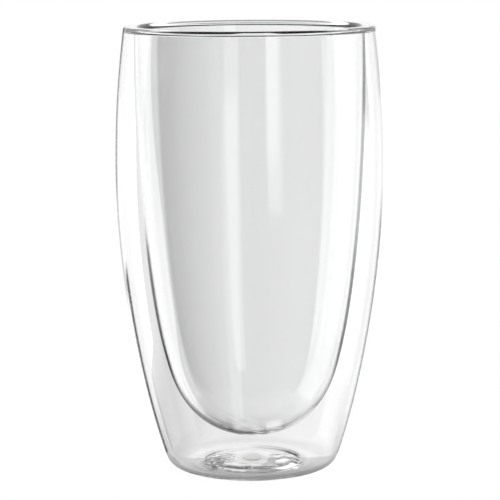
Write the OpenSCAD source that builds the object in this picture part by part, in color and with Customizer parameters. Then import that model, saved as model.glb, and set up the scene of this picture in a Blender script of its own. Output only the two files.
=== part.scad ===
// Double walled drinking glass. A thin inner vessel hangs inside a wider outer vessel,
// and both are melted together at the mouth into one rounded ring, so air insulates the drink.
// The frame stands on the table: the origin is under the middle of the foot, and +Z points up.
// All sizes are in millimetres.

/* [Overall] */
// Height from the table to the top of the rim
glass_h = 149; // [140:1:165]
// Widest outer diameter, at the belly
belly_d = 90; // [88:1:100]
// Height of the widest place above the table
belly_z = 100; // [85:1:112]

/* [Rim] */
// How far the outer wall has drawn in from the belly where the rim ring starts
mouth_inset = 3; // [2:0.5:4.5]
// Width of the rim ring, which spans both walls and the air gap
rim_w = 4.8; // [4:0.1:5.4]
// Height of the fused ring above the two walls
rim_h = 2.1; // [1.9:0.1:3]
// Radius of the ring's outer edge
rim_outer_r = 1.1; // [0.6:0.1:1.4]
// Radius of the ring's edge on the drink's side
rim_inner_r = 1.5; // [0.8:0.1:1.8]
// Rise of the rounded ceiling that closes the air gap
gap_arch_h = 0.7; // [0.2:0.1:0.9]
// Inward lean of the outer wall at the rim, in degrees
mouth_lean = 7.5; // [5:0.5:10]

/* [Outer vessel] */
// Thickness of the outer wall
outer_wall = 1.4; // [1:0.1:1.7]
// Thickness of the glass under the air gap
base_t = 1.3; // [1.1:0.1:2]
// How far the wall has drawn in from the belly at the top of the foot's curve
heel_inset = 13.5; // [11:0.5:16]
// Height of the top of the foot's curve
heel_z = 9; // [7:0.5:12]
// Outward lean of the wall above the foot, in degrees
heel_lean = 17; // [13:0.5:20]
// Outer diameter of the flat ring that stands on the table
foot_d = 41; // [40.5:0.5:44]

/* [Hollow under the base] */
// Diameter of the hollow pressed up into the underside
hollow_d = 34; // [30:0.5:34.5]
// Depth of the hollow
hollow_h = 1; // [0.9:0.1:1.6]
// Width of its sloping edge
hollow_edge_w = 2.8; // [2.4:0.2:5]
// Width of the softer step that the hollow leaves on the floor above it
crown_edge_w = 9; // [7:0.5:9.5]
// Diameter of the vent hole in the middle
vent_d = 5; // [4:0.5:6]

/* [Inner vessel] */
// Thickness of the inner wall
inner_wall = 1; // [0.8:0.1:1.3]
// Thickness of the inner vessel's floor
cup_floor_t = 1.6; // [1.2:0.1:2.4]
// Air gap between the two floors
floor_gap = 8.4; // [6:0.2:10]
// How far its inner face lies inside the belly's radius at the top of the rounded bottom
bowl_inset = 17.8; // [16:0.2:21]
// Height of that place above the inner floor
bowl_h = 21.2; // [18:0.2:26]
// Outward lean of the inner wall above the rounded bottom, in degrees
bowl_lean = 17.5; // [15:0.5:20.5]
// Inward lean of the inner wall at the rim, in degrees
bore_lean = 2; // [1:0.5:5]

/* [Vent plug] */
// Diameter of the plug's head
plug_head_d = 11; // [9:0.5:14]
// Thickness of the head, which stays inside the hollow
plug_head_t = 0.8; // [0.6:0.1:0.9]
// Diameter of the soft lip that snaps through the hole
plug_lip_d = 6.4; // [6.2:0.1:7.4]
// Height of the lip
plug_lip_h = 0.9; // [0.7:0.1:1.6]
// Diameter of the lip's blunt tip
plug_tip_d = 4; // [2.5:0.5:4.5]
// Space between the plug's neck and the glass
plug_clearance = 0.05; // [0.02:0.01:0.1]

/* [Hidden] */
$fn = 160;

// Length that a cut runs past the glass on each side
overrun = 1;

// Heights of the rim ring's lower face and of the two floors
weld_z = glass_h - rim_h;
base_top_z = hollow_h + base_t;
cup_under_z = base_top_z + floor_gap;
cup_floor_z = cup_under_z + cup_floor_t;
bowl_z = cup_floor_z + bowl_h;

// Radii that the profiles use
belly_r = belly_d / 2;
mouth_r = belly_r - mouth_inset;
bore_r = mouth_r - rim_w;
heel_r = belly_r - heel_inset;
foot_r = foot_d / 2;
hollow_r = hollow_d / 2;
bowl_r = belly_r - bowl_inset;

// How far each curve's end keeps its direction, as a share of the stretch that it spans
foot_share = 0.74;
heel_share = 0.74;
lower_wall_shares = [0.3, 0.32];
upper_wall_shares = [0.34, 0.37];
floor_share = 0.22;
bowl_share = 0.98;
inner_wall_shares = [0.25, 0.25];
hollow_share = 0.5;

// Steps that each curve is drawn in
foot_steps = 18;
wall_steps = 24;
neck_steps = 14;
hollow_steps = 8;
edge_steps = 8;

// Directions of the walls: along each wall, upwards
heel_dir = [sin(heel_lean), cos(heel_lean)];
mouth_dir = [-sin(mouth_lean), cos(mouth_lean)];
bowl_dir = [sin(bowl_lean), cos(bowl_lean)];
bore_dir = [-sin(bore_lean), cos(bore_lean)];
up = [0, 1];
outward = [1, 0];

// Point on a cubic curve with the control points p, at u from 0 to 1
function curve_point(p, u) =
    pow(1 - u, 3) * p[0] + 3 * pow(1 - u, 2) * u * p[1] + 3 * (1 - u) * u * u * p[2] + pow(u, 3) * p[3];

// Direction of that curve, as a unit vector
function curve_way(p, u) =
    let (w = pow(1 - u, 2) * (p[1] - p[0]) + 2 * (1 - u) * u * (p[2] - p[1]) + u * u * (p[3] - p[2]))
    w / norm(w);

// Turns a direction a quarter to its left
function to_left(w) = [-w[1], w[0]];

// Eased step from a to b, level at both ends
function ease(a, b, u) = a + (b - a) * u * u * (3 - 2 * u);

// Points along a curve, moved to its left by a distance that eases from t0 to t1
function curve_points(p, steps, t0 = 0, t1 = 0) =
    [for (i = [0:steps]) let (u = i / steps) curve_point(p, u) + ease(t0, t1, u) * to_left(curve_way(p, u))];

// A list of points without its first one, and the same list from its end to its start
function rest(list) = [for (i = [1:len(list) - 1]) list[i]];
function back(list) = [for (i = [len(list) - 1:-1:0]) list[i]];

// Outside of the outer vessel, from the foot ring to the rim
foot_curve = [
    [foot_r, 0],
    [foot_r, 0] + foot_share * (heel_r - foot_r) * outward,
    [heel_r, heel_z] - heel_share * heel_z * heel_dir,
    [heel_r, heel_z]
];
lower_wall = [
    [heel_r, heel_z],
    [heel_r, heel_z] + lower_wall_shares[0] * (belly_z - heel_z) * heel_dir,
    [belly_r, belly_z] - lower_wall_shares[1] * (belly_z - heel_z) * up,
    [belly_r, belly_z]
];
upper_wall = [
    [belly_r, belly_z],
    [belly_r, belly_z] + upper_wall_shares[0] * (weld_z - belly_z) * up,
    [mouth_r, weld_z] - upper_wall_shares[1] * (weld_z - belly_z) * mouth_dir,
    [mouth_r, weld_z]
];

// Edge of the hollow, from its flat ceiling out to the foot ring
hollow_edge = [
    [hollow_r - hollow_edge_w, hollow_h],
    [hollow_r - hollow_edge_w, hollow_h] + hollow_share * hollow_edge_w * outward,
    [hollow_r, 0] - hollow_share * hollow_edge_w * outward,
    [hollow_r, 0]
];

// The same step on the floor above, wider because the hot glass flows there
crown_mid_r = hollow_r - hollow_edge_w / 2;
crown_edge = [
    [crown_mid_r - crown_edge_w / 2, base_top_z],
    [crown_mid_r - crown_edge_w / 2, base_top_z] + hollow_share * crown_edge_w * outward,
    [crown_mid_r + crown_edge_w / 2, base_t] - hollow_share * crown_edge_w * outward,
    [crown_mid_r + crown_edge_w / 2, base_t]
];

// Inside of the inner vessel, from the middle of its floor to the rim
bowl_curve = [
    [0, cup_floor_z],
    [floor_share * bowl_r, cup_floor_z],
    [bowl_r, bowl_z] - bowl_share * bowl_h * bowl_dir,
    [bowl_r, bowl_z]
];
bore_wall = [
    [bowl_r, bowl_z],
    [bowl_r, bowl_z] + inner_wall_shares[0] * (weld_z - bowl_z) * bowl_dir,
    [bore_r, weld_z] - inner_wall_shares[1] * (weld_z - bowl_z) * bore_dir,
    [bore_r, weld_z]
];

// Radii of the two faces that bound the air gap where it meets the rim ring
gap_outer_r = mouth_r - outer_wall / cos(mouth_lean);
gap_inner_r = bore_r + inner_wall / cos(bore_lean);

// Closed half section of the outer vessel
function outer_section() = concat(
    [[0, hollow_h]],
    curve_points(hollow_edge, hollow_steps),
    curve_points(foot_curve, foot_steps),
    rest(curve_points(lower_wall, wall_steps)),
    rest(curve_points(upper_wall, neck_steps)),
    [[gap_outer_r, weld_z]],
    back(curve_points(upper_wall, neck_steps, outer_wall, outer_wall)),
    rest(back(curve_points(lower_wall, wall_steps, outer_wall, outer_wall))),
    rest(back(curve_points(foot_curve, foot_steps, base_t, outer_wall))),
    back(curve_points(crown_edge, hollow_steps)),
    [[0, base_top_z]]
);

// Closed half section of the inner vessel
function inner_section() = concat(
    [[0, cup_under_z]],
    rest(curve_points(bowl_curve, foot_steps, -cup_floor_t, -inner_wall)),
    rest(curve_points(bore_wall, wall_steps, -inner_wall, -inner_wall)),
    [[gap_inner_r, weld_z]],
    back(curve_points(bore_wall, wall_steps)),
    rest(back(curve_points(bowl_curve, foot_steps)))
);

// Points of an arc round a centre, from one angle to another
function arc_points(centre, r, from, to) =
    [for (i = [0:edge_steps]) let (a = from + (to - from) * i / edge_steps) centre + r * [cos(a), sin(a)]];

// Centres of the rim ring's two rounded edges, each tangent to its wall's line
outer_edge_c = [
    mouth_r - (rim_h - rim_outer_r) * tan(mouth_lean) - rim_outer_r / cos(mouth_lean),
    glass_h - rim_outer_r
];
inner_edge_c = [
    bore_r - (rim_h - rim_inner_r) * tan(bore_lean) + rim_inner_r / cos(bore_lean),
    glass_h - rim_inner_r
];

// Closed half section of the rim ring, with the arch over the air gap
function rim_section() = concat(
    [[mouth_r, weld_z]],
    arc_points(outer_edge_c, rim_outer_r, mouth_lean, 90),
    arc_points(inner_edge_c, rim_inner_r, 90, 180 + bore_lean),
    [[bore_r, weld_z]],
    [for (i = [0:edge_steps]) let (a = 180 - 180 * i / edge_steps) [
        (gap_outer_r + gap_inner_r) / 2 + (gap_outer_r - gap_inner_r) / 2 * cos(a),
        weld_z + gap_arch_h * sin(a)
    ]]
);

// Blown outer vessel with its foot, the hollow under it and the vent hole
module outer_vessel() {
    color([0.86, 0.92, 0.94, 0.35])
        difference() {
            rotate_extrude()
                polygon(outer_section());
            translate([0, 0, hollow_h - overrun])
                cylinder(d = vent_d, h = base_t + 2 * overrun);
        }
}

// Blown inner vessel that holds the drink
module inner_vessel() {
    color([0.82, 0.9, 0.93, 0.4])
        rotate_extrude()
            polygon(inner_section());
}

// Ring of glass at the mouth, where both walls are melted into each other
module rim_weld() {
    color([0.7, 0.82, 0.86, 0.6])
        rotate_extrude()
            polygon(rim_section());
}

// Soft plug that closes the vent hole, pushed in from below until its lip snaps out
module vent_plug() {
    head_r = plug_head_d / 2;
    neck_r = vent_d / 2 - plug_clearance;
    lip_z = base_top_z + plug_clearance;
    edge_r = plug_head_t / 2;
    color([0.93, 0.93, 0.92, 0.9])
        rotate_extrude()
            polygon(concat(
                [[0, hollow_h - plug_head_t]],
                arc_points([head_r - edge_r, hollow_h - edge_r], edge_r, -90, 90),
                [[neck_r, hollow_h], [neck_r, lip_z]],
                [[plug_lip_d / 2, lip_z], [plug_tip_d / 2, lip_z + plug_lip_h], [0, lip_z + plug_lip_h]]
            ));
}

outer_vessel();
inner_vessel();
rim_weld();
vent_plug();
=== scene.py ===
import math

import bmesh
import bpy
from mathutils import Matrix, Vector, noise
from mathutils.geometry import interpolate_bezier


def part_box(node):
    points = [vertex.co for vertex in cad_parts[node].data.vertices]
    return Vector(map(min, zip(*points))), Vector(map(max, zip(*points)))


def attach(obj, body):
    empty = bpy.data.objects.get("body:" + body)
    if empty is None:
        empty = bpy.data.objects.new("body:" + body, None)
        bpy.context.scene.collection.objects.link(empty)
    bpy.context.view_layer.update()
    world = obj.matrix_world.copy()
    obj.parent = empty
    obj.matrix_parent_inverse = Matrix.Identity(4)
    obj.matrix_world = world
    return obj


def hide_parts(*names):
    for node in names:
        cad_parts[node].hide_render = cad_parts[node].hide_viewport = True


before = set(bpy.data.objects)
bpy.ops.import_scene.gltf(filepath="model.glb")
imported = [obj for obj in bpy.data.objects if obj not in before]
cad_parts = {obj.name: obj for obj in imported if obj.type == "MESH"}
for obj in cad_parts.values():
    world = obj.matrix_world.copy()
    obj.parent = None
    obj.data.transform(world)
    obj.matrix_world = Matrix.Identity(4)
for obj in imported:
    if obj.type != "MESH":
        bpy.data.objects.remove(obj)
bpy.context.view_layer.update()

# Outer glass: a clear borosilicate bubble blown into a mould, cut open at the mouth. Its foot is a
# soft round curve, and the underside is pressed up into a shallow hollow with a vent hole.
outer_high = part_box("outer_vessel")[1]
weld_z = outer_high.z
belly_r = outer_high.x
belly_z = 0.100
mouth_r = 0.042
mouth_lean = math.radians(7.5)
outer_wall = 0.0014
base_t = 0.0013
heel_r = 0.0315
heel_z = 0.009
heel_lean = math.radians(17)
foot_r = 0.0205
hollow_r = 0.017
hollow_h = 0.001
hollow_edge_w = 0.0028
crown_edge_w = 0.009
vent_r = 0.0025
base_top_z = hollow_h + base_t

# How far the ends of each curve pull along their own direction, as shares of the curve's size
edge_pull = 0.5
heel_pull = 0.74
lower_wall_pulls = (0.3, 0.32)
upper_wall_pulls = (0.34, 0.37)

round_steps = 192
same_place = 1e-6
crisp_angle = 0.9
up = Vector((0, 1))
outward = Vector((1, 0))


def wall_way(lean):
    """Direction of a wall that leans outward by this angle, going up."""
    return Vector((math.sin(lean), math.cos(lean)))


def curve(start, start_pull, end_pull, end, steps):
    """Points of a smooth curve, as radius and height, with a pull away from each end."""
    pulls = (start, start + start_pull, end + end_pull, end)
    return [Vector(p[:2]) for p in interpolate_bezier(*(p.to_3d() for p in pulls), steps + 1)]


def set_back(points, first, last):
    """The same line moved to its left by a wall thickness that eases from first to last."""
    moved = []
    count = len(points) - 1
    for i, p in enumerate(points):
        way = (points[min(i + 1, count)] - points[max(i - 1, 0)]).normalized()
        share = i / count
        t = first + (last - first) * share * share * (3 - 2 * share)
        moved.append(p + t * Vector((-way.y, way.x)))
    return moved


def spun_mesh(outline, closed):
    """A round solid from its half outline. A closed outline is a ring, an open one ends on the axis."""
    mesh = bmesh.new()
    verts = [mesh.verts.new((p.x, 0, p.y)) for p in outline]
    pairs = zip(verts, verts[1:] + verts[:1]) if closed else zip(verts, verts[1:])
    edges = [mesh.edges.new(pair) for pair in pairs]
    bmesh.ops.spin(
        mesh, geom=verts + edges, cent=(0, 0, 0), axis=(0, 0, 1), angle=math.tau,
        steps=round_steps, use_merge=True,
    )
    bmesh.ops.remove_doubles(mesh, verts=mesh.verts, dist=same_place)
    bmesh.ops.recalc_face_normals(mesh, faces=mesh.faces)
    if mesh.calc_volume(signed=True) < 0:
        bmesh.ops.reverse_faces(mesh, faces=mesh.faces)
    return mesh


def finished_piece(name, mesh, node, materials):
    """Shades the mesh smooth with crisp corners and hands it over in place of its CAD node.

    Faces at the height of the weld get the last of the materials.
    """
    for face in mesh.faces:
        face.smooth = True
        if all(abs(v.co.z - weld_z) < same_place for v in face.verts):
            face.material_index = len(materials) - 1
    for edge in mesh.edges:
        if len({f.material_index for f in edge.link_faces}) > 1 or edge.calc_face_angle(0) > crisp_angle:
            edge.smooth = False
    data = bpy.data.meshes.new(name)
    mesh.to_mesh(data)
    mesh.free()
    piece = bpy.data.objects.new(name, data)
    bpy.context.scene.collection.objects.link(piece)
    for material in materials:
        data.materials.append(material)
    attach(piece, "root")
    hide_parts(node)
    return piece


hollow_edge = curve(
    Vector((hollow_r - hollow_edge_w, hollow_h)), edge_pull * hollow_edge_w * outward,
    -edge_pull * hollow_edge_w * outward, Vector((hollow_r, 0)), steps=12,
)
foot_curve = curve(
    Vector((foot_r, 0)), heel_pull * (heel_r - foot_r) * outward,
    -heel_pull * heel_z * wall_way(heel_lean), Vector((heel_r, heel_z)), steps=30,
)
lower_wall = curve(
    Vector((heel_r, heel_z)), lower_wall_pulls[0] * (belly_z - heel_z) * wall_way(heel_lean),
    -lower_wall_pulls[1] * (belly_z - heel_z) * up, Vector((belly_r, belly_z)), steps=44,
)
upper_wall = curve(
    Vector((belly_r, belly_z)), upper_wall_pulls[0] * (weld_z - belly_z) * up,
    -upper_wall_pulls[1] * (weld_z - belly_z) * wall_way(-mouth_lean), Vector((mouth_r, weld_z)), steps=26,
)
crown_mid_r = hollow_r - hollow_edge_w / 2
crown_edge = curve(
    Vector((crown_mid_r - crown_edge_w / 2, base_top_z)), edge_pull * crown_edge_w * outward,
    -edge_pull * crown_edge_w * outward, Vector((crown_mid_r + crown_edge_w / 2, base_t)), steps=16,
)
gap_outer_r = mouth_r - outer_wall / math.cos(mouth_lean)
ceiling_start_r = 0.0058
ceiling_steps = 24
ceiling_w = hollow_edge[0].x - ceiling_start_r
hollow_ceiling = [
    Vector((ceiling_start_r + ceiling_w * i / ceiling_steps, hollow_h)) for i in range(ceiling_steps)
]
outer_outline = [
    Vector((vent_r, hollow_h)), *hollow_ceiling, *hollow_edge, *foot_curve, *lower_wall[1:], *upper_wall[1:],
    Vector((gap_outer_r, weld_z)),
    *reversed(set_back(upper_wall, outer_wall, outer_wall)),
    *reversed(set_back(lower_wall, outer_wall, outer_wall)[:-1]),
    *reversed(set_back(foot_curve, base_t, outer_wall)[:-1]),
    *reversed(crown_edge), Vector((vent_r, base_top_z)),
]


def make_blown_skin():
    """Node group for the skin of blown glass: slow ripples, faint drawn cords and a trace of haze."""
    group = bpy.data.node_groups.new("blown_glass_skin", "ShaderNodeTree")
    add_socket = group.interface.new_socket
    for name in ("Ripples per Metre", "Ripple Depth", "Cord Tint", "Haze"):
        add_socket(name=name, in_out="INPUT", socket_type="NodeSocketFloat")
    add_socket(name="Colour", in_out="OUTPUT", socket_type="NodeSocketColor")
    add_socket(name="Roughness", in_out="OUTPUT", socket_type="NodeSocketFloat")
    add_socket(name="Normal", in_out="OUTPUT", socket_type="NodeSocketVector")
    add, link = group.nodes.new, group.links.new
    given, made = add("NodeGroupInput"), add("NodeGroupOutput")
    place = add("ShaderNodeTexCoord")
    drawn = add("ShaderNodeMapping")
    drawn.inputs["Scale"].default_value = (1, 1, 0.3)
    link(place.outputs["Object"], drawn.inputs["Vector"])
    ripples = add("ShaderNodeTexNoise")
    ripples.inputs["Detail"].default_value = 1
    link(drawn.outputs[0], ripples.inputs["Vector"])
    link(given.outputs["Ripples per Metre"], ripples.inputs["Scale"])
    bump = add("ShaderNodeBump")
    link(ripples.outputs["Fac"], bump.inputs["Height"])
    link(given.outputs["Ripple Depth"], bump.inputs["Distance"])
    link(bump.outputs[0], made.inputs["Normal"])
    long_way = add("ShaderNodeMapping")
    long_way.inputs["Scale"].default_value = (150, 150, 6)
    link(place.outputs["Object"], long_way.inputs["Vector"])
    cords = add("ShaderNodeTexNoise")
    cords.inputs["Scale"].default_value = 1
    cords.inputs["Detail"].default_value = 3
    link(long_way.outputs[0], cords.inputs["Vector"])
    tint = add("ShaderNodeMath")
    tint.operation = "MULTIPLY"
    link(cords.outputs["Fac"], tint.inputs[0])
    link(given.outputs["Cord Tint"], tint.inputs[1])
    colour = add("ShaderNodeMix")
    colour.data_type = "RGBA"
    colour.inputs["A"].default_value = (1, 1, 1, 1)
    colour.inputs["B"].default_value = (0.78, 0.9, 0.88, 1)
    link(tint.outputs[0], colour.inputs["Factor"])
    link(colour.outputs["Result"], made.inputs["Colour"])
    wear = add("ShaderNodeTexNoise")
    wear.inputs["Scale"].default_value = 260
    wear.inputs["Detail"].default_value = 4
    link(place.outputs["Object"], wear.inputs["Vector"])
    patches = add("ShaderNodeMapRange")
    patches.inputs["From Min"].default_value = 0.55
    patches.inputs["From Max"].default_value = 0.8
    link(wear.outputs["Fac"], patches.inputs["Value"])
    link(given.outputs["Haze"], patches.inputs["To Max"])
    link(patches.outputs[0], made.inputs["Roughness"])
    return group


blown_skin = make_blown_skin()
glass_ior = 1.47


def make_glass(name, ripples, depth, tint, haze):
    """Clear borosilicate with the blown skin, in the amounts given."""
    material = bpy.data.materials.new(name)
    material.use_nodes = True
    nodes, links = material.node_tree.nodes, material.node_tree.links
    skin = nodes.new("ShaderNodeGroup")
    skin.node_tree = blown_skin
    for socket, amount in zip(skin.inputs, (ripples, depth, tint, haze)):
        socket.default_value = amount
    shader = nodes["Principled BSDF"]
    shader.inputs["IOR"].default_value = glass_ior
    shader.inputs["Transmission Weight"].default_value = 1
    links.new(skin.outputs["Colour"], shader.inputs["Base Color"])
    links.new(skin.outputs["Roughness"], shader.inputs["Roughness"])
    links.new(skin.outputs["Normal"], shader.inputs["Normal"])
    return material


# Where two solids meet in the weld, the glass is one piece, so the faces between them don't show
fused = bpy.data.materials.new("fused_glass_joint")
fused.use_nodes = True
fused.node_tree.nodes["Principled BSDF"].inputs["Alpha"].default_value = 0

# Press marks in the hollow: spreads are angles from the side in radians, scales are waves per metre
crinkle_spread = 0.75
crinkle_scale = 800
crinkle_h = 0.0004
swell_spread = 0.6
swell_scale = 300
swell_h = 0.0006
wave_scale = 190
wave_h = 0.00006
mark_fade_in = 0.003
mark_fade_out = 0.0015
mark_clearance = 0.00005


def press_marks(mesh):
    """Marks that the press leaves in the hollow: crinkles left, swells right, faint waves all over."""
    for v in mesh.verts:
        r = v.co.to_2d().length
        if v.co.z > hollow_h + same_place or r < ceiling_start_r or r > hollow_r:
            continue
        side = abs(math.atan2(v.co.y, v.co.x))
        left = max(0, 1 - (math.pi - side) / crinkle_spread)
        right = max(0, 1 - side / swell_spread)
        ring = min(1, (r - ceiling_start_r) / mark_fade_in, (hollow_r - r) / mark_fade_out)
        crinkle = noise.noise(v.co * crinkle_scale) * crinkle_h * left ** 0.5
        swell = noise.noise(v.co * swell_scale) * swell_h * right ** 0.5
        wave = noise.noise(v.co * wave_scale) * wave_h
        v.co.z = max(mark_clearance, v.co.z + ring * (crinkle + swell + wave))


outer_mesh = spun_mesh(outer_outline, True)
press_marks(outer_mesh)
outer_glass = make_glass("outer_blown_glass", ripples=38, depth=0.00003, tint=0.03, haze=0.012)
finished_piece("outer_glass", outer_mesh, "outer_vessel", [outer_glass, fused])

# Inner glass: a thinner bubble that holds the drink. It hangs from the rim alone, and its round
# bottom floats over the base with only air between. It is melted in by hand, so it hangs a hair askew.
inner_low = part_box("inner_vessel")[0]
inner_wall = 0.001
cup_floor_t = 0.0016
cup_floor_z = inner_low.z + cup_floor_t
bowl_r = 0.0272
bowl_h = 0.0212
bowl_z = cup_floor_z + bowl_h
bowl_lean = math.radians(17.5)
bore_r = 0.0372
bore_lean = math.radians(2)
bowl_pulls = (0.22, 0.98)
bore_pull = 0.25
askew = 0.004
drop_r = 0.012
drop_h = 0.004
drop_ripples = 260
drop_ripple_h = 0.0002
gap_inner_r = bore_r + inner_wall / math.cos(bore_lean)
bowl_curve = curve(
    Vector((0, cup_floor_z)), bowl_pulls[0] * bowl_r * outward,
    -bowl_pulls[1] * bowl_h * wall_way(bowl_lean), Vector((bowl_r, bowl_z)), steps=36,
)
bore_curve = curve(
    Vector((bowl_r, bowl_z)), bore_pull * (weld_z - bowl_z) * wall_way(bowl_lean),
    -bore_pull * (weld_z - bowl_z) * wall_way(-bore_lean), Vector((bore_r, weld_z)), steps=50,
)
inner_outline = [
    Vector((0, inner_low.z)),
    *set_back(bowl_curve, -cup_floor_t, -inner_wall)[1:],
    *set_back(bore_curve, -inner_wall, -inner_wall)[1:],
    Vector((gap_inner_r, weld_z)),
    *reversed(bore_curve),
    *reversed(bowl_curve[:-1]),
]
inner_mesh = spun_mesh(inner_outline, False)
# The gathered drop of glass at the bottom sets a little uneven
for v in inner_mesh.verts:
    drop = 1 - v.co.to_2d().length / drop_r
    if drop > 0 and v.co.z < cup_floor_z + drop_h:
        v.co.z += drop ** 0.5 * noise.noise(v.co * drop_ripples) * drop_ripple_h
at_weld = Matrix.Translation((0, 0, weld_z))
hang = at_weld @ Matrix.Shear("XY", 4, (-askew, 0)) @ at_weld.inverted()
bmesh.ops.transform(inner_mesh, matrix=hang, verts=inner_mesh.verts)
inner_glass = make_glass("inner_blown_glass", ripples=52, depth=0.00002, tint=0.03, haze=0.008)
finished_piece("inner_glass", inner_mesh, "inner_vessel", [inner_glass, fused])

# Rim ring: where both glasses were melted into each other with a flame. Its edges are rounded by
# the heat, and it closes the air gap with a small arch.
rim_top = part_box("rim_weld")[1].z
rim_h = rim_top - weld_z
rim_outer_r = 0.0011
rim_inner_r = 0.0015
gap_arch_h = 0.0007


def arc(centre, radius, start, end, steps):
    """Points of an arc in the outline's plane, with the angles in degrees."""
    angles = [math.radians(start + (end - start) * i / steps) for i in range(steps + 1)]
    return [centre + radius * Vector((math.cos(a), math.sin(a))) for a in angles]


outer_edge_c = Vector((
    mouth_r - (rim_h - rim_outer_r) * math.tan(mouth_lean) - rim_outer_r / math.cos(mouth_lean),
    rim_top - rim_outer_r,
))
inner_edge_c = Vector((
    bore_r - (rim_h - rim_inner_r) * math.tan(bore_lean) + rim_inner_r / math.cos(bore_lean),
    rim_top - rim_inner_r,
))
gap_mid_r = (gap_outer_r + gap_inner_r) / 2
gap_half = (gap_outer_r - gap_inner_r) / 2
arch = [
    Vector((gap_mid_r + gap_half * p.x, weld_z + gap_arch_h * p.y))
    for p in arc(Vector((0, 0)), 1, 180, 0, steps=16)
]
rim_outline = [
    Vector((mouth_r, weld_z)),
    *arc(outer_edge_c, rim_outer_r, math.degrees(mouth_lean), 90, steps=14),
    *arc(inner_edge_c, rim_inner_r, 90, 180 + math.degrees(bore_lean), steps=14),
    Vector((bore_r, weld_z)),
    *arch,
]
rim_glass = make_glass("flame_rounded_glass", ripples=90, depth=0.00001, tint=0.05, haze=0.0)
finished_piece("rim_ring", spun_mesh(rim_outline, True), "rim_weld", [rim_glass, fused])

# Vent plug: a small button of clear silicone, moulded with a soft lip that snaps through the vent
# hole, so that washing water stays out of the air gap.
plug_head_r = 0.0055
plug_head_t = 0.0008
plug_lip_r = 0.0032
plug_lip_h = 0.0009
plug_tip_r = 0.002
plug_clearance = 0.00005
plug_lip_z = base_top_z + plug_clearance
plug_head_z = hollow_h - plug_clearance
plug_shank_r = vent_r - plug_clearance
head_edge_r = plug_head_t / 2
head_edge_c = Vector((plug_head_r - head_edge_r, plug_head_z - head_edge_r))
plug_outline = [
    Vector((0, plug_head_z - plug_head_t)),
    *arc(head_edge_c, head_edge_r, -90, 90, steps=10),
    Vector((plug_shank_r, plug_head_z)), Vector((plug_shank_r, plug_lip_z)),
    Vector((plug_lip_r, plug_lip_z)), Vector((plug_tip_r, plug_lip_z + plug_lip_h)),
    Vector((0, plug_lip_z + plug_lip_h)),
]
silicone = bpy.data.materials.new("clear_silicone")
silicone.use_nodes = True
silicone_shader = silicone.node_tree.nodes["Principled BSDF"]
silicone_shader.inputs["IOR"].default_value = 1.41
silicone_shader.inputs["Transmission Weight"].default_value = 0.25
add, link = silicone.node_tree.nodes.new, silicone.node_tree.links.new
place = add("ShaderNodeTexCoord")
cloud = add("ShaderNodeTexNoise")
cloud.inputs["Scale"].default_value = 700
cloud.inputs["Detail"].default_value = 4
link(place.outputs["Object"], cloud.inputs["Vector"])
milky = add("ShaderNodeMix")
milky.data_type = "RGBA"
milky.inputs["A"].default_value = (0.86, 0.865, 0.85, 1)
milky.inputs["B"].default_value = (0.95, 0.95, 0.945, 1)
link(cloud.outputs["Fac"], milky.inputs["Factor"])
link(milky.outputs["Result"], silicone_shader.inputs["Base Color"])
satin = add("ShaderNodeMapRange")
satin.inputs["To Min"].default_value = 0.38
satin.inputs["To Max"].default_value = 0.55
link(cloud.outputs["Fac"], satin.inputs["Value"])
link(satin.outputs[0], silicone_shader.inputs["Roughness"])
grain = add("ShaderNodeTexNoise")
grain.inputs["Scale"].default_value = 5000
link(place.outputs["Object"], grain.inputs["Vector"])
moulded = add("ShaderNodeBump")
moulded.inputs["Distance"].default_value = 0.00001
link(grain.outputs["Fac"], moulded.inputs["Height"])
link(moulded.outputs[0], silicone_shader.inputs["Normal"])
finished_piece("vent_button", spun_mesh(plug_outline, False), "vent_plug", [silicone])

# Table: a pale matt top with a painted grey shadow on it, whose front edge and tone show through the base.
# Painted light and shade from the hollow lie in it: a pale pool, a dark band, dark specks and a white spot.
table_r = 3
shade_front_y = -0.045
shade_back_y = 0.0036
shade_half_x = 0.042
shade_fade_y = -0.022
shade_dark = 0.30
shade_pale = 0.62
table_white = 1.01
matt_share = 0.1

floor_mesh = bmesh.new()
bmesh.ops.create_circle(floor_mesh, cap_ends=True, segments=64, radius=table_r)
floor_data = bpy.data.meshes.new("floor")
floor_mesh.to_mesh(floor_data)
floor_mesh.free()
floor = bpy.data.objects.new("floor", floor_data)
bpy.context.scene.collection.objects.link(floor)
floor_material = bpy.data.materials.new("pale_table")
floor_material.use_nodes = True
nodes = floor_material.node_tree.nodes
links = floor_material.node_tree.links
nodes.clear()


def math_node(operation, a, b=None, c=None):
    """Output of a Math node. Numbers are set on it and sockets are linked to it."""
    node = nodes.new("ShaderNodeMath")
    node.operation = operation
    for socket, value in zip(node.inputs, (a, b, c)):
        if value is None:
            continue
        if isinstance(value, (int, float)):
            socket.default_value = value
        else:
            links.new(value, socket)
    return node.outputs[0]


def times(a, b):
    return math_node("MULTIPLY", a, b)


def plus(a, b):
    return math_node("ADD", a, b)


def minus(a, b):
    return math_node("SUBTRACT", a, b)


def soft_step(value, start, end, first=0, last=1):
    """Eases from first to last while value goes from start to end."""
    step = nodes.new("ShaderNodeMapRange")
    step.interpolation_type = "SMOOTHSTEP"
    for name, number in (("From Min", start), ("From Max", end), ("To Min", first), ("To Max", last)):
        step.inputs[name].default_value = number
    links.new(value, step.inputs["Value"])
    return step.outputs[0]


def soft_band(value, low, high, soft):
    """1 where value lies between low and high, with edges that are soft on both sides of them."""
    return times(soft_step(value, low - soft, low + soft), soft_step(value, high - soft, high + soft, 1, 0))


def blend(mask, first, last):
    """first where the mask is 0, last where it is 1."""
    return plus(times(mask, last), times(minus(1, mask), first))


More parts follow.
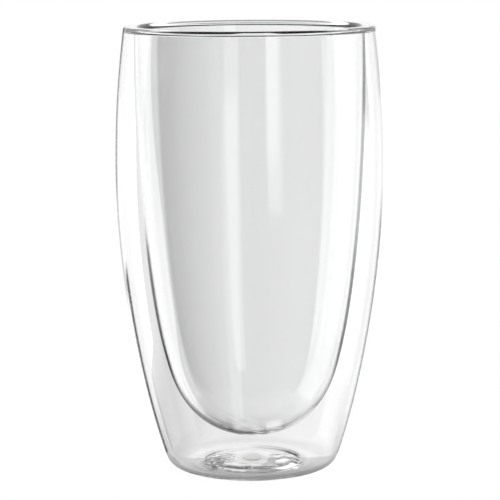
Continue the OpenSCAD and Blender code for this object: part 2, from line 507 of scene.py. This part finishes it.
place = nodes.new("ShaderNodeTexCoord")
spot = nodes.new("ShaderNodeSeparateXYZ")
links.new(place.outputs["Object"], spot.inputs[0])
path = nodes.new("ShaderNodeLightPath")
# Painted shadow of the glass: grey under the glass, darker towards the front, with a crisp back edge
shade_level = soft_step(spot.outputs["Y"], shade_fade_y, shade_back_y, shade_dark, shade_pale)
shade = times(
    soft_band(spot.outputs["Y"], shade_front_y, shade_back_y, soft=0.0004),
    soft_band(spot.outputs["X"], -shade_half_x, shade_half_x, soft=0.006),
)
ragged = nodes.new("ShaderNodeTexNoise")
ragged.inputs["Scale"].default_value = 420
ragged.inputs["Detail"].default_value = 5
links.new(place.outputs["Object"], ragged.inputs["Vector"])
patch_outside = 1.15
patch_inside = 0.85


def light_patch(x, y, half_x, half_y, rough):
    """1 in a ragged oval patch of painted light or painted shade on the table, 0 around it."""
    across = math_node("POWER", math_node("DIVIDE", minus(spot.outputs["X"], x), half_x), 2)
    along = math_node("POWER", math_node("DIVIDE", minus(spot.outputs["Y"], y), half_y), 2)
    edge = times(minus(ragged.outputs["Fac"], 0.5), rough)
    return soft_step(plus(plus(across, along), edge), patch_outside, patch_inside)


# Painted light and shade where the hollow gathers light: a pale pool, a dark band, a white spot and dark
# specks
painted_light_pool = light_patch(x=-0.0035, y=-0.005, half_x=0.0080, half_y=0.0100, rough=2)
painted_shade_band = light_patch(x=0.0060, y=-0.003, half_x=0.0030, half_y=0.0130, rough=2)
painted_light_spot = light_patch(x=0.0115, y=-0.006, half_x=0.0048, half_y=0.0070, rough=3)
painted_speck_area = light_patch(x=-0.0125, y=-0.004, half_x=0.0036, half_y=0.0120, rough=5)
painted_dark_specks = times(painted_speck_area, soft_step(ragged.outputs["Fac"], 0.46, 0.50))
for patch, level in ((painted_light_pool, 0.85), (painted_shade_band, 0.35), (painted_light_spot, 1.3), (painted_dark_specks, 0.03)):
    shade_level = blend(patch, shade_level, level)

# The camera sees the bare table white, with a touch of real light on it that keeps the glass's shadow.
# Light that passed the glass sees the painted shadow and its painted light, and beside the shadow it sees
# the room.
glow = nodes.new("ShaderNodeEmission")
links.new(blend(path.outputs["Is Camera Ray"], shade_level, table_white), glow.inputs["Strength"])
matt = nodes.new("ShaderNodeBsdfDiffuse")
matt.inputs["Color"].default_value = (0.95, 0.95, 0.95, 1)
lit = nodes.new("ShaderNodeMixShader")
links.new(times(path.outputs["Is Camera Ray"], matt_share), lit.inputs["Fac"])
links.new(glow.outputs[0], lit.inputs[1])
links.new(matt.outputs[0], lit.inputs[2])
clear = nodes.new("ShaderNodeBsdfTransparent")
seen_floor = nodes.new("ShaderNodeMixShader")
links.new(math_node("MAXIMUM", path.outputs["Is Camera Ray"], shade), seen_floor.inputs["Fac"])
links.new(clear.outputs[0], seen_floor.inputs[1])
links.new(lit.outputs[0], seen_floor.inputs[2])
out = nodes.new("ShaderNodeOutputMaterial")
links.new(seen_floor.outputs[0], out.inputs["Surface"])
floor.data.materials.append(floor_material)
floor.visible_glossy = False
floor.visible_diffuse = False
floor.visible_shadow = False

# Room: a white studio with a grey cloth behind the glass, white reflectors beside the cloth, and a dark
# end behind the camera, where one tall soft lamp draws the streaks down the glass. Directions are in
# degrees: azimuth 0 is straight behind the glass and grows to the right, elevation 0 is level.
degrees = 180 / math.pi
half_sector = 22.5
reflector_light = 1.18
right_near_light = 1.13
right_far_light = 0.9
back_line_light = 0.3
front_line_light = 0.0
white_light = 1.13
strip_light = 1.2
strip_light_inside = 1.5
dark_light = 0.02
ring_end_light = 0.03

world = bpy.data.worlds.new("studio")
bpy.context.scene.world = world
world.use_nodes = True
nodes = world.node_tree.nodes
links = world.node_tree.links
nodes.clear()
coords = nodes.new("ShaderNodeTexCoord")
way = nodes.new("ShaderNodeSeparateXYZ")
links.new(coords.outputs["Generated"], way.inputs[0])
azimuth = times(math_node("ARCTAN2", way.outputs["X"], way.outputs["Y"]), degrees)
elevation = times(math_node("ARCSINE", way.outputs["Z"]), degrees)
path = nodes.new("ShaderNodeLightPath")

# A wall has two surfaces: a view passes 4 beside the inner glass and 8 through both glasses. Over the
# mouth it passes 2 through the ring at the back, and 6 through the ring in front and the walls behind.
surfaces_passed = path.outputs["Transmission Depth"]
mirrors_met = path.outputs["Glossy Depth"]
both_glasses = math_node("GREATER_THAN", surfaces_passed, 5)
ring_behind = math_node("COMPARE", surfaces_passed, 2, 0.5)
ring_in_front = math_node("COMPARE", surfaces_passed, 6, 0.5)
rim_only = plus(ring_behind, ring_in_front)
# Mirrored light that passed fewer than 3 met the outer glass alone, and from 8 on it met a back wall
outer_only = math_node("LESS_THAN", surfaces_passed, 3)
front_wall = math_node("LESS_THAN", surfaces_passed, 7.5)

# Grey cloth: darker left of its seam and paler right of it. It hangs every 45 degrees, so that the
# glass looks alike from all round.
panel = math_node("WRAP", azimuth, half_sector, -half_sector)
cloth_left = math_node(
    "MAXIMUM",
    soft_step(panel, -5.4, -1.2, first=0.73, last=0.93),
    soft_step(elevation, -6, -4, first=0, last=0.765),
)
cloth_right = soft_step(panel, -1.0, 3.2, first=0.95, last=1.04)
panel_light = blend(soft_step(panel, -2.1, -1.7), cloth_left, cloth_right)

# Left reflector: its edge leans out further down, and it is brightest at its far side
left_end = plus(
    soft_step(elevation, -9, -3.5, first=-6.3, last=-7.9),
    soft_step(elevation, -11, -13.2, first=0, last=-0.9),
)
left_end = blend(both_glasses, soft_step(elevation, -11.6, -14.5, first=-6.6, last=-10.8), left_end)
left_near = soft_step(elevation, -7, -11, first=1.06, last=1.12)
left_far = soft_step(elevation, -4.5, -7.5, first=1.4, last=2.0)
left_light = blend(soft_step(panel, -7.5, -13), left_near, left_far)
left_light = blend(both_glasses, reflector_light, left_light)
panel_light = blend(soft_step(minus(panel, left_end), 0.12, -0.12), panel_light, left_light)

# Right reflector: a crisp edge that turns soft low down, and a greyer far side
right_far = plus(
    soft_step(elevation, -8, -11, first=0.86, last=0.75),
    soft_step(elevation, -13.5, -16, first=0, last=0.28),
)
right_far = blend(both_glasses, right_far, right_far_light)
right_near = blend(both_glasses, right_near_light, reflector_light)
right_light = blend(soft_step(panel, 6.5, 13), right_near, right_far)
crisp_edge = soft_step(panel, 3.95, 4.2)
soft_edge = soft_step(panel, 3.0, 7.0)
right_edge = blend(soft_step(elevation, -11, -13), crisp_edge, soft_edge)
panel_light = blend(right_edge, panel_light, right_light)

# All of it falls off towards the table, and a thin stand crosses the view beside the inner glass
low_outside = soft_step(elevation, -15, -20, first=1, last=0.93)
low_inside = soft_step(elevation, -17, -24, first=1, last=0.82)
panel_light = times(panel_light, blend(both_glasses, low_outside, low_inside))
stand = times(
    soft_band(azimuth, 6.6, 8.3, soft=0.2),
    soft_step(elevation, -6, -4.6, first=0, last=0.36),
)
panel_light = times(panel_light, blend(both_glasses, minus(1, stand), 1))

# The ring bends the view down to the dark low end: two thin lines at the back, one bold line in front
back_lines = plus(soft_band(elevation, -20, -12, soft=1.5), soft_step(elevation, -31, -37))
front_start = blend(soft_band(azimuth, -0.9, 1.9, soft=0.5), -11.5, -19)
front_line = soft_step(minus(elevation, front_start), 1.5, -1.5)
rim_lines = times(rim_only, blend(both_glasses, back_lines, front_line))
direct = blend(rim_lines, panel_light, blend(both_glasses, back_line_light, front_line_light))

# What the walls mirror at their edges: the white room, round to where its dark end begins. The back
# walls mirror less of it than the front walls do.
right_end = blend(front_wall, 66, 99)
white_front = times(
    soft_step(azimuth, -78, -76),
    soft_step(minus(azimuth, right_end), -2, 2, first=1, last=0),
)

# Dark gaps between the reflectors and the white room draw the outlines of both glasses
left_side = math_node("LESS_THAN", azimuth, 0)
inner_left_edge = blend(
    soft_step(elevation, -10.5, -11.5),
    soft_band(azimuth, -26, -3, soft=1.5),
    soft_band(azimuth, -29, -3, soft=1.5),
)
inner_right_start = soft_step(elevation, -5.5, -4.5, first=2.5, last=0.4)
inner_right_edge = times(
    soft_step(minus(azimuth, inner_right_start), -1, 1),
    soft_step(azimuth, 30, 33, first=1, last=0),
)
inner_edges = plus(inner_left_edge, inner_right_edge)
inner_left = times(
    soft_step(elevation, -10.8, -9.3, first=0.95, last=0.3),
    soft_step(elevation, -17, -22, first=1, last=0.6),
)
inner_right = plus(
    soft_step(elevation, -9.5, -12, first=0.7, last=0.97),
    soft_step(elevation, -5.8, -4.6, first=0, last=0.28),
)
inner_right = times(inner_right, soft_step(elevation, -16.5, -19, first=1, last=0.45))
inner_outline = times(inner_edges, blend(left_side, inner_right, inner_left))
outer_left_edge = blend(
    soft_step(elevation, -11.2, -12.2),
    soft_band(azimuth, -20, -8, soft=1.5),
    soft_band(azimuth, -32, -22, soft=1.5),
)
outer_edges = plus(outer_left_edge, soft_band(azimuth, 20, 27.5, soft=1.5))
outer_left = plus(
    soft_step(elevation, -8.2, -6.8, first=0.55, last=0.8),
    soft_step(elevation, -11.2, -12.2, first=0, last=0.45),
)
outer_right = soft_step(elevation, -7, -10, first=0.35, last=0.85)
outer_outline = times(outer_edges, blend(left_side, outer_right, outer_left))
outline = times(blend(outer_only, inner_outline, outer_outline), soft_step(elevation, 4, 8, first=1, last=0))
white_front = times(white_front, minus(1, outline))

# The white room is greyer overhead and, for the outer glass, near the table
white_front = times(white_front, soft_step(elevation, 32, 38, first=1, last=0.6))
white_front = times(white_front, blend(outer_only, 1, soft_step(elevation, -20, -27, first=1, last=0.3)))

# Light that runs along inside the ring comes out dark at its two ends, and the ring mirrors no ceiling
many_mirrors = math_node("GREATER_THAN", mirrors_met, 1.5)
ring_ends = times(many_mirrors, soft_step(elevation, -4.0, -3.0))
ring_ends = times(ring_ends, blend(left_side, 1, outer_only))
white_front = times(white_front, blend(ring_ends, 1, ring_end_light))
ring_ceiling = times(rim_only, soft_step(elevation, 13, 17, first=0, last=0.95))
white_front = times(white_front, minus(1, ring_ceiling))

# Tall soft lamp behind the camera, on its right
strip_end = blend(front_wall, 168.2, 165.2)
strip = soft_step(minus(azimuth, strip_end), -0.6, 0.6, first=1, last=0)
strip = times(strip, soft_step(azimuth, 150, 156))
strip = times(strip, soft_band(elevation, -11.5, 40, soft=2.5))
strip = times(strip, blend(front_wall, strip_light_inside, strip_light))
mirrored = plus(times(white_front, white_light), plus(strip, dark_light))
seen = blend(math_node("GREATER_THAN", mirrors_met, 0.5), direct, mirrored)

# Camera rays and soft light on the table and the plug see plain white
soft_rays = math_node("GREATER_THAN", path.outputs["Diffuse Depth"], 0.5)
plain = math_node("MAXIMUM", path.outputs["Is Camera Ray"], soft_rays)
background = nodes.new("ShaderNodeBackground")
background.inputs["Color"].default_value = (1, 1, 1, 1)
links.new(blend(plain, seen, 1), background.inputs["Strength"])
world_out = nodes.new("ShaderNodeOutputWorld")
links.new(background.outputs[0], world_out.inputs["Surface"])

# Camera: a long lens well back from the glass and a little above its rim, as in the photo. It is
# turned very slightly, so the glass leans a hair to the left.
camera_distance = 0.7
camera_height = 0.1823
camera_aside = -0.00025
camera_pitch = math.radians(8.82)
camera_roll = math.radians(-0.36)
photo_width_px = 500
focal_px = 2105
camera_data = bpy.data.cameras.new("photo_camera")
camera_data.sensor_width = 36
camera_data.lens = focal_px / photo_width_px * camera_data.sensor_width
camera_data.clip_start = 0.05
camera_data.clip_end = 20
camera = bpy.data.objects.new("photo_camera", camera_data)
camera.location = (camera_aside, -camera_distance, camera_height)
camera.rotation_mode = "ZYX"
camera.rotation_euler = (math.radians(90) - camera_pitch, 0, camera_roll)
bpy.context.scene.collection.objects.link(camera)
bpy.context.scene.camera = camera

# Light passes many glass surfaces and is mirrored between them, so its paths may be long
longest_path = 40
scene = bpy.context.scene
scene.view_settings.view_transform = "Standard"
scene.cycles.max_bounces = longest_path
scene.cycles.transmission_bounces = longest_path
scene.cycles.glossy_bounces = longest_path
scene.cycles.transparent_max_bounces = longest_path
scene.cycles.blur_glossy = 0
